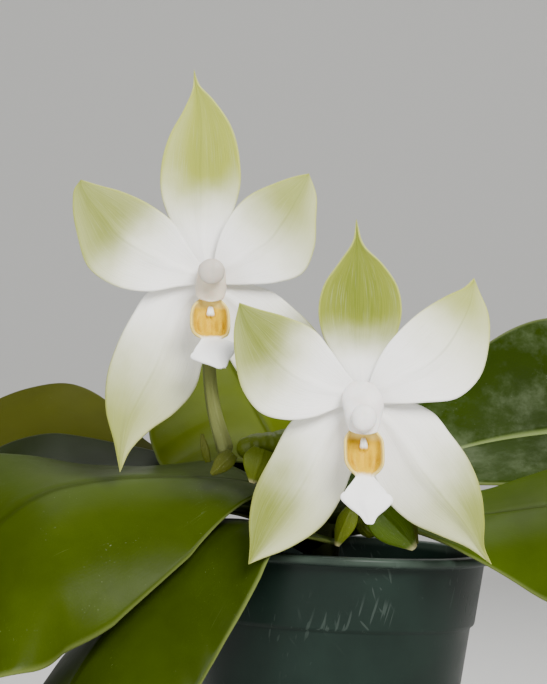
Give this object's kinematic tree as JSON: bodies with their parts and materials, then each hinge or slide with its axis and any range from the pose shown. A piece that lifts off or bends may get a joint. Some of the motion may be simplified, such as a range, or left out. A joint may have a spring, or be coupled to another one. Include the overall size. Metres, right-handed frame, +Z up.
{
  "type": "potted orchid",
  "caption": "Small orchid in a round plastic pot: two white star-shaped flowers with yellow-green tips on short spikes above broad arching leaves.",
  "frame": {"origin": "centre of the pot's flat base, on the surface it stands on", "axes": "+Z up along the pot's axis, -Y towards the side that the flowers face, +X to the right seen from there"},
  "size_m": [0.3104, 0.1526, 0.2083],
  "materials": {
    "pot_plastic": "semi-matt dark green moulded plastic with fine scratches",
    "bark": "rough dry bark chips",
    "stem_green": "dark green plant stem, waxy",
    "root_skin": "silvery velamen of orchid roots, matt",
    "leaf_green": "fleshy green leaf, waxy sheen with dusty scuffs",
    "leaf_olive": "older olive green leaf, matt",
    "spike_green": "dark green fleshy flower spike",
    "bract_green": "bright green waxy bract",
    "pedicel_green": "pale green flower stalk",
    "tepal_white": "thick waxy petal, white at the centre and yellow-green towards the tip",
    "lip_yellow": "waxy lip, yellow side lobes and a white middle lobe",
    "column_white": "waxy white column"
  },
  "bodies": {
    "root": {"pot": "pot_plastic", "bark_medium": "bark", "bark_chip_1": "bark", "bark_chip_2": "bark", "bark_chip_3": "bark", "bark_chip_4": "bark", "bark_chip_5": "bark", "bark_chip_6": "bark", "stem": "stem_green", "aerial_root_1": "root_skin", "aerial_root_2": "root_skin", "aerial_root_3": "root_skin", "aerial_root_4": "root_skin", "leaf_1": "leaf_green", "leaf_2": "leaf_green", "leaf_3": "leaf_olive", "leaf_4": "leaf_green", "leaf_5": "leaf_green", "leaf_6": "leaf_green", "leaf_7": "leaf_green", "spike_1_peduncle": "spike_green", "spike_1_rachis": "spike_green", "spike_2_peduncle": "spike_green", "spike_2_rachis": "spike_green", "spike_1_bract_1": "bract_green", "spike_1_bract_2": "bract_green", "spike_1_bract_3": "bract_green", "spike_2_bract_1": "bract_green", "spike_2_bract_2": "bract_green", "spike_2_bract_3": "bract_green", "flower_a_dorsal_sepal": "tepal_white", "flower_a_petal_left": "tepal_white", "flower_a_petal_right": "tepal_white", "flower_a_lateral_sepal_left": "tepal_white", "flower_a_lateral_sepal_right": "tepal_white", "flower_a_lip": "lip_yellow", "flower_a_column": "column_white", "flower_a_anther_cap": "column_white", "flower_a_pedicel": "pedicel_green", "flower_b_dorsal_sepal": "tepal_white", "flower_b_petal_left": "tepal_white", "flower_b_petal_right": "tepal_white", "flower_b_lateral_sepal_left": "tepal_white", "flower_b_lateral_sepal_right": "tepal_white", "flower_b_lip": "lip_yellow", "flower_b_column": "column_white", "flower_b_anther_cap": "column_white", "flower_b_pedicel": "pedicel_green"}
  },
  "joints": []
}
